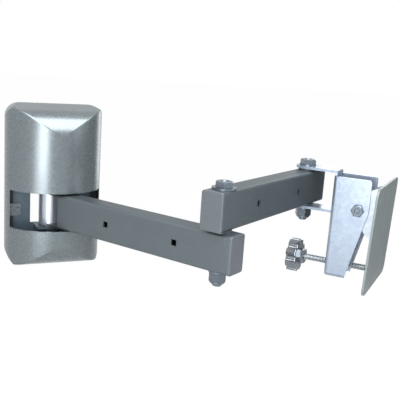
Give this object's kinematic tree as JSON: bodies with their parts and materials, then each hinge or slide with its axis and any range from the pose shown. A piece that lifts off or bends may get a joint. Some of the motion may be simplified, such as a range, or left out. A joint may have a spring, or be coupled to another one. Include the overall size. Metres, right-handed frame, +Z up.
{
  "type": "tv wall mount",
  "caption": "Swivelling double-arm wall mount for a flat TV: covered wall plate, two rectangular-tube arms, folded head bracket, small tilting TV plate and a lobed tilt knob.",
  "frame": {"origin": "centre of the wall plate's back face, on the wall", "axes": "+Z up, +Y into the wall, +X to the right of someone facing the wall"},
  "size_m": [0.4511, 0.2491, 0.195],
  "materials": {
    "silver_paint": "silver metallic paint, satin",
    "silver_plastic": "silver metallic moulding, satin",
    "zinc": "zinc plated sheet, faintly mottled",
    "dark_zinc": "dark zinc fasteners",
    "bright_plating": "bright plated knob",
    "grey_paint": "mid grey paint, matt",
    "dark_nylon": "dark nylon bushes",
    "grey_plastic": "moulded end caps",
    "black_plastic": "moulded tip pad and foam slot strips"
  },
  "bodies": {
    "wall_side": {"wall_bracket": "zinc", "wall_cover": "silver_plastic", "cover_screws": "dark_zinc", "slot_strips": "black_plastic", "wall_pivot_bolt": "dark_zinc", "wall_pivot_nut": "dark_zinc", "wall_pivot_washers": "dark_zinc"},
    "inner_arm": {"inner_arm_tube": "silver_paint", "wall_pivot_tube": "silver_paint", "wall_bush_upper": "dark_nylon", "wall_bush_lower": "dark_nylon", "inner_elbow_sleeve": "zinc", "inner_arm_cap": "grey_plastic", "elbow_bolt": "dark_zinc", "elbow_nut": "dark_zinc", "elbow_head_washer": "dark_zinc", "elbow_nut_washer": "dark_zinc", "elbow_spacer": "dark_zinc"},
    "outer_arm": {"outer_arm_tube": "silver_paint", "outer_arm_near_cap": "grey_plastic", "outer_arm_far_cap": "grey_plastic", "outer_elbow_sleeve": "zinc", "outer_head_sleeve": "zinc", "elbow_bush_upper": "dark_nylon", "elbow_bush_lower": "dark_nylon", "head_bush_upper": "dark_nylon", "head_bush_lower": "dark_nylon"},
    "head": {"head_bracket": "zinc", "head_pivot_bolt": "dark_zinc", "head_pivot_nut": "dark_zinc", "head_pivot_washers": "dark_zinc", "head_spacers": "dark_zinc", "tilt_bolt": "dark_zinc", "tilt_nut": "dark_zinc", "screw_nut": "dark_zinc"},
    "tv_side": {"plate_channel": "zinc", "tv_plate": "grey_paint", "tilt_bush": "zinc"},
    "screw_tip": {"rod_tip": "black_plastic"},
    "screw": {"threaded_rod": "dark_zinc", "tilt_knob": "bright_plating"}
  },
  "joints": [
    {"name": "wall_swivel", "type": "hinge", "parent": "wall_side", "child": "inner_arm", "pos_m": [-0.005, -0.015, -0.0245], "axis": [0, 0, 1], "range_deg": [-97, 39]},
    {"name": "elbow_swivel", "type": "hinge", "parent": "inner_arm", "child": "outer_arm", "pos_m": [0.12118, -0.22501, -0.003], "axis": [0, 0, 1], "range_deg": [-221, 39]},
    {"name": "head_swivel", "type": "hinge", "parent": "outer_arm", "child": "head", "pos_m": [0.28401, -0.12326, 0.0185], "axis": [0, 0, 1], "range_deg": [-8, 172]},
    {"name": "screw_travel", "type": "slide", "parent": "head", "child": "screw_tip", "axis": [0.6428, -0.766, 0], "range_m": [-0.0158, 0.0158]},
    {"name": "knob_turn", "type": "hinge", "parent": "screw_tip", "child": "screw", "pos_m": [0.28401, -0.12326, -0.0703], "axis": [0.6428, -0.766, 0], "range_deg": [-4500, 4500]},
    {"name": "plate_tilt", "type": "hinge", "parent": "head", "child": "tv_side", "pos_m": [0.32913, -0.17704, 0.0017], "axis": [0.766, 0.6428, 0], "range_deg": [-12.6, 12.6]}
  ],
  "couplings": [
    {"joint": "screw_travel", "follows": "knob_turn", "m_per_rad": 0.00019894},
    {"joint": "plate_tilt", "follows": "knob_turn", "ratio": -0.0027631}
  ]
}
